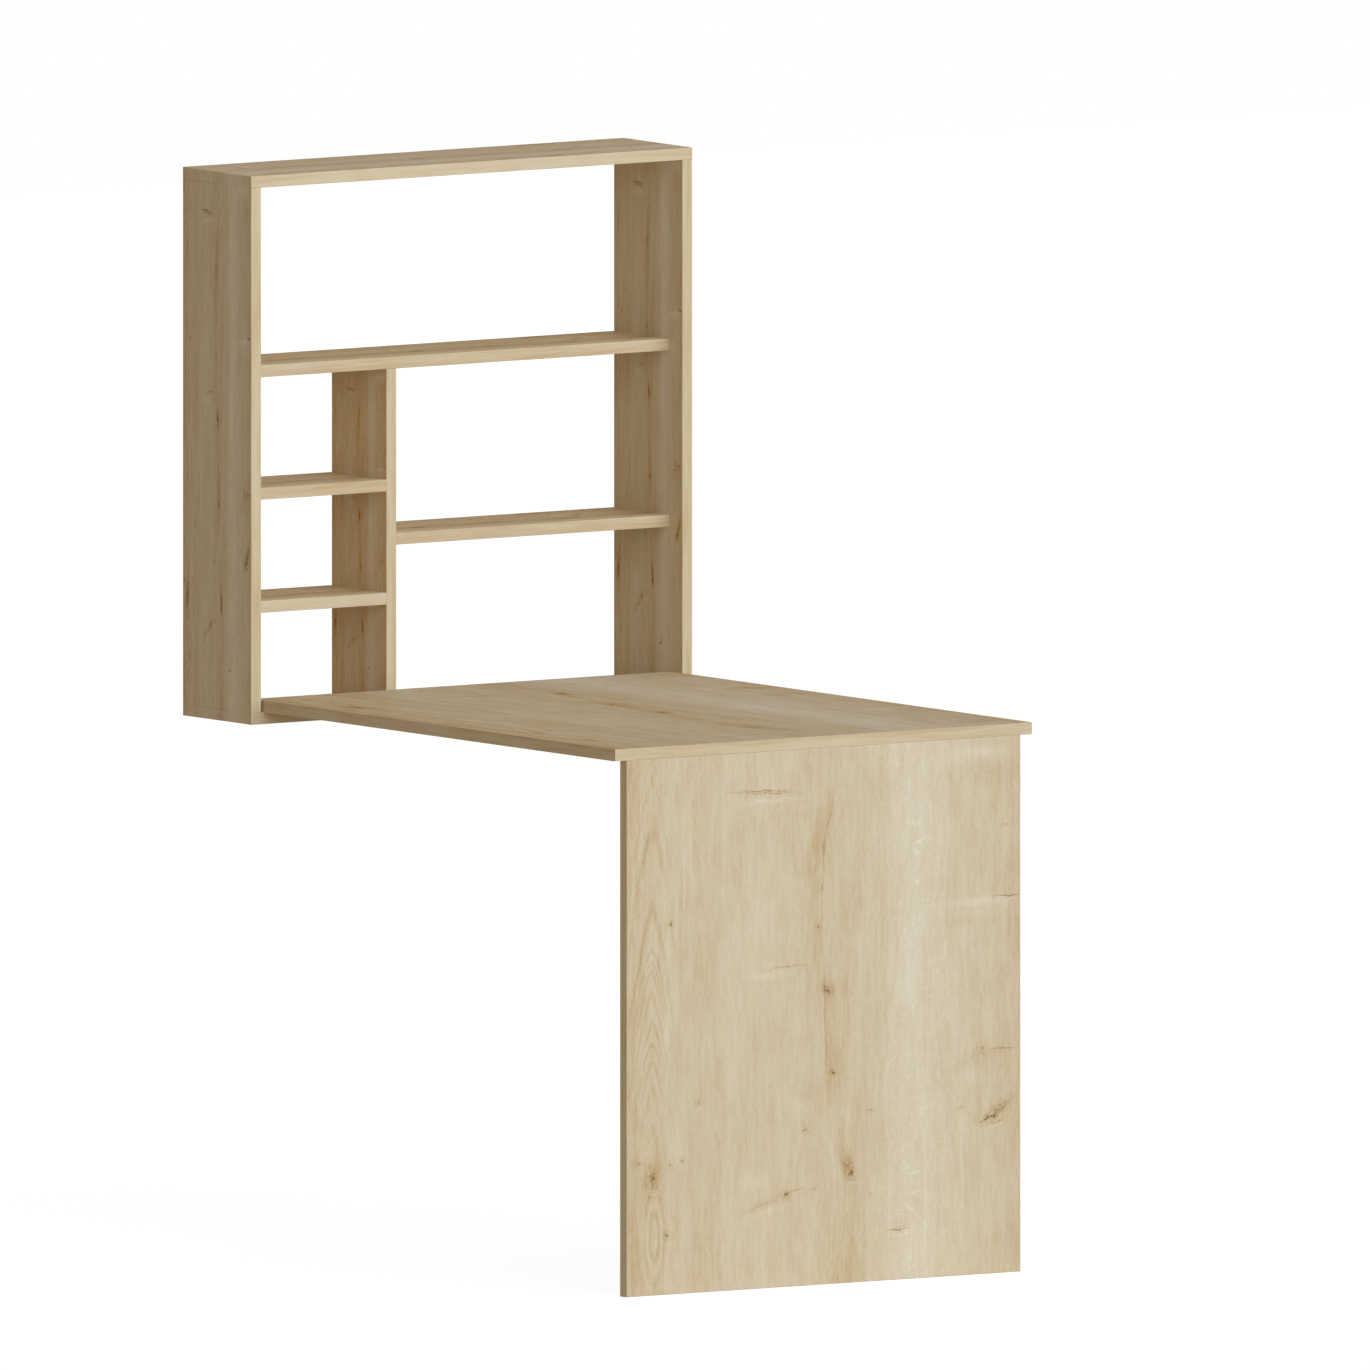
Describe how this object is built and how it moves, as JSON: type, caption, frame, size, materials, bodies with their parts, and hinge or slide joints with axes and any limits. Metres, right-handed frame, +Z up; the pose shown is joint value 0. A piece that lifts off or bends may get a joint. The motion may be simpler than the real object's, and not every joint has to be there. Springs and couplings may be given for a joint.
{
  "type": "fold down wall desk",
  "caption": "Wall-hung open shelf cabinet with a fold-down desk leaf on hidden pivots and a hinged leg panel under the leaf's front end.",
  "frame": {"origin": "centre of the rectangle of the wall fixing holes, on the wall plane", "axes": "+Z up, +Y into the wall so that the room and the desk leaf lie towards -Y, +X to the right seen from the room"},
  "size_m": [0.708, 0.985, 1.428],
  "materials": {
    "oak_board": "light oak look melamine on chipboard, satin",
    "oak_edge_band": "oak look edge banding, satin",
    "beech_dowel": "raw beech",
    "beige_cap": "matt",
    "white_nylon": "matt",
    "zinc_alloy": "die-cast",
    "zinc_plated_steel": "zinc plated"
  },
  "bodies": {
    "cabinet": {"top_board": "oak_board", "bottom_board": "oak_board", "side_board_left": "oak_board", "side_board_right": "oak_board", "middle_shelf": "oak_board", "divider_board": "oak_board", "shelf_left_upper": "oak_board", "shelf_left_lower": "oak_board", "shelf_right": "oak_board", "top_edge_bands": "oak_edge_band", "bottom_edge_bands": "oak_edge_band", "side_board_left_edge_band": "oak_edge_band", "side_board_right_edge_band": "oak_edge_band", "middle_shelf_edge_band": "oak_edge_band", "divider_board_edge_band": "oak_edge_band", "shelf_left_upper_edge_band": "oak_edge_band", "shelf_left_lower_edge_band": "oak_edge_band", "shelf_right_edge_band": "oak_edge_band", "wood_dowels": "beech_dowel", "cam_locks": "zinc_alloy", "cam_bolts": "zinc_alloy", "cam_cover_caps": "beige_cap", "hanger_brackets": "zinc_plated_steel", "bracket_screws": "zinc_plated_steel", "pivot_pins": "zinc_plated_steel", "pivot_washers": "white_nylon"},
    "desk_leaf_body": {"desk_leaf": "oak_board", "desk_leaf_edge_bands": "oak_edge_band", "pivot_bushes": "white_nylon", "hinge_desk_plates": "zinc_plated_steel", "hinge_desk_screws": "zinc_plated_steel", "hinge_pins": "zinc_plated_steel"},
    "leg_body": {"leg_panel": "oak_board", "leg_panel_edge_bands": "oak_edge_band", "hinge_leg_plates": "zinc_plated_steel", "hinge_leg_screws": "zinc_plated_steel"}
  },
  "joints": [
    {"name": "desk_fold", "type": "hinge", "parent": "cabinet", "child": "desk_leaf_body", "pos_m": [0, -0.136, -0.323], "axis": [-1, 0, 0], "range_deg": [0, 87.3]},
    {"name": "leg_fold", "type": "hinge", "parent": "desk_leaf_body", "child": "leg_body", "pos_m": [0, -0.9665, -0.3335], "axis": [1, 0, 0], "range_deg": [0, 90]}
  ]
}
